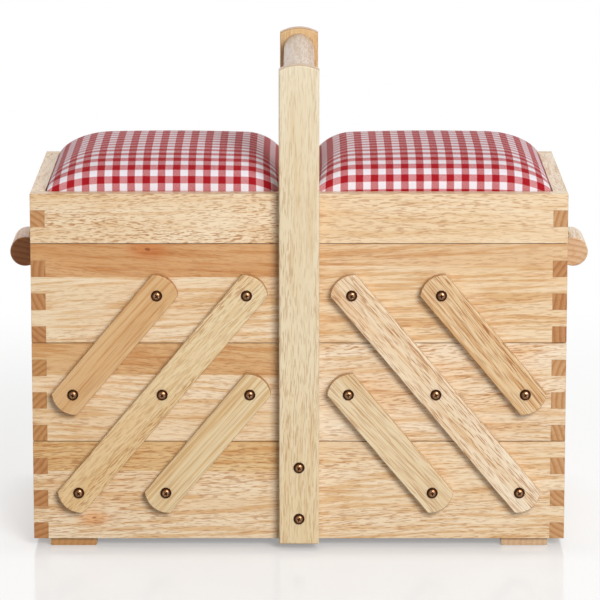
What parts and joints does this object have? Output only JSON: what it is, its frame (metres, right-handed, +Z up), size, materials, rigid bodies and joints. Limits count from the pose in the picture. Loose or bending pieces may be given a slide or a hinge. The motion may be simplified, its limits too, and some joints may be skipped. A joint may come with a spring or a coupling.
{
  "type": "cantilever sewing box",
  "caption": "Wooden cantilever sewing box: half trays swing out sideways on slanted links from a wide base, under padded gingham lids and a fixed carrying handle.",
  "frame": {"origin": "centre of the footprint on the floor, under the middle of the base", "axes": "+X along the box to the right as seen from the front, +Y from front to back, +Z up"},
  "size_m": [0.4862, 0.2524, 0.405],
  "materials": {
    "rubberwood": "satin lacquer",
    "plywood": "thin satin lacquer",
    "gingham": "woven cotton in red and white checks",
    "brass": "antique"
  },
  "bodies": {
    "base": {"base_front_board": "rubberwood", "base_back_board": "rubberwood", "base_left_end": "rubberwood", "base_right_end": "rubberwood", "base_bottom_panel": "plywood", "left_foot_runner": "rubberwood", "right_foot_runner": "rubberwood", "front_upright": "rubberwood", "back_upright": "rubberwood", "grip": "rubberwood"},
    "left_long_links": {"left_long_link_front": "rubberwood", "left_long_link_back": "rubberwood"},
    "left_lower_links": {"left_lower_link_front": "rubberwood", "left_lower_link_back": "rubberwood"},
    "left_upper_links": {"left_upper_link_front": "rubberwood", "left_upper_link_back": "rubberwood"},
    "left_middle_tray": {"left_middle_front_board": "rubberwood", "left_middle_back_board": "rubberwood", "left_middle_outer_end": "rubberwood", "left_middle_inner_end": "rubberwood", "left_middle_bottom_panel": "plywood"},
    "left_top_tray": {"left_top_front_board": "rubberwood", "left_top_back_board": "rubberwood", "left_top_outer_end": "rubberwood", "left_top_inner_end": "rubberwood", "left_top_bottom_panel": "plywood", "left_pull": "rubberwood", "left_tray_hinge_leaf": "brass"},
    "left_lid": {"left_lid_front_rail": "rubberwood", "left_lid_back_rail": "rubberwood", "left_lid_outer_end": "rubberwood", "left_lid_inner_end": "rubberwood", "left_lid_panel": "plywood", "left_lid_cushion": "gingham", "left_lid_hinge_leaf": "brass"},
    "right_long_links": {"right_long_link_front": "rubberwood", "right_long_link_back": "rubberwood"},
    "right_lower_links": {"right_lower_link_front": "rubberwood", "right_lower_link_back": "rubberwood"},
    "right_upper_links": {"right_upper_link_front": "rubberwood", "right_upper_link_back": "rubberwood"},
    "right_middle_tray": {"right_middle_front_board": "rubberwood", "right_middle_back_board": "rubberwood", "right_middle_outer_end": "rubberwood", "right_middle_inner_end": "rubberwood", "right_middle_bottom_panel": "plywood"},
    "right_top_tray": {"right_top_front_board": "rubberwood", "right_top_back_board": "rubberwood", "right_top_outer_end": "rubberwood", "right_top_inner_end": "rubberwood", "right_top_bottom_panel": "plywood", "right_pull": "rubberwood", "right_tray_hinge_leaf": "brass"},
    "right_lid": {"right_lid_front_rail": "rubberwood", "right_lid_back_rail": "rubberwood", "right_lid_outer_end": "rubberwood", "right_lid_inner_end": "rubberwood", "right_lid_panel": "plywood", "right_lid_cushion": "gingham", "right_lid_hinge_leaf": "brass"}
  },
  "joints": [
    {"name": "left_spread", "type": "hinge", "parent": "base", "child": "left_long_links", "pos_m": [-0.182, 0, 0.04825], "axis": [0, -1, 0], "range_deg": [0, 79.8]},
    {"name": "left_middle_level", "type": "hinge", "parent": "left_long_links", "child": "left_middle_tray", "pos_m": [-0.1125, 0, 0.13125], "axis": [0, -1, 0], "range_deg": [-79.8, 0]},
    {"name": "left_top_level", "type": "hinge", "parent": "left_long_links", "child": "left_top_tray", "pos_m": [-0.043, 0, 0.21425], "axis": [0, -1, 0], "range_deg": [-79.8, 0]},
    {"name": "left_lower_swing", "type": "hinge", "parent": "base", "child": "left_lower_links", "pos_m": [-0.11, 0, 0.04825], "axis": [0, -1, 0], "range_deg": [0, 79.8]},
    {"name": "left_upper_swing", "type": "hinge", "parent": "left_middle_tray", "child": "left_upper_links", "pos_m": [-0.186, 0, 0.13125], "axis": [0, -1, 0], "range_deg": [0, 79.8]},
    {"name": "left_lid_hinge", "type": "hinge", "parent": "left_top_tray", "child": "left_lid", "pos_m": [-0.2224, 0, 0.25575], "axis": [0, -1, 0], "range_deg": [0, 100]},
    {"name": "right_spread", "type": "hinge", "parent": "base", "child": "right_long_links", "pos_m": [0.182, 0, 0.04825], "axis": [0, 1, 0], "range_deg": [0, 79.8]},
    {"name": "right_middle_level", "type": "hinge", "parent": "right_long_links", "child": "right_middle_tray", "pos_m": [0.1125, 0, 0.13125], "axis": [0, 1, 0], "range_deg": [-79.8, 0]},
    {"name": "right_top_level", "type": "hinge", "parent": "right_long_links", "child": "right_top_tray", "pos_m": [0.043, 0, 0.21425], "axis": [0, 1, 0], "range_deg": [-79.8, 0]},
    {"name": "right_lower_swing", "type": "hinge", "parent": "base", "child": "right_lower_links", "pos_m": [0.11, 0, 0.04825], "axis": [0, 1, 0], "range_deg": [0, 79.8]},
    {"name": "right_upper_swing", "type": "hinge", "parent": "right_middle_tray", "child": "right_upper_links", "pos_m": [0.186, 0, 0.13125], "axis": [0, 1, 0], "range_deg": [0, 79.8]},
    {"name": "right_lid_hinge", "type": "hinge", "parent": "right_top_tray", "child": "right_lid", "pos_m": [0.2224, 0, 0.25575], "axis": [0, 1, 0], "range_deg": [0, 100]}
  ],
  "couplings": [
    {"joint": "left_middle_level", "follows": "left_spread", "ratio": -1},
    {"joint": "left_top_level", "follows": "left_spread", "ratio": -1},
    {"joint": "left_lower_swing", "follows": "left_spread", "ratio": 1},
    {"joint": "left_upper_swing", "follows": "left_spread", "ratio": 1},
    {"joint": "right_middle_level", "follows": "right_spread", "ratio": -1},
    {"joint": "right_top_level", "follows": "right_spread", "ratio": -1},
    {"joint": "right_lower_swing", "follows": "right_spread", "ratio": 1},
    {"joint": "right_upper_swing", "follows": "right_spread", "ratio": 1}
  ]
}
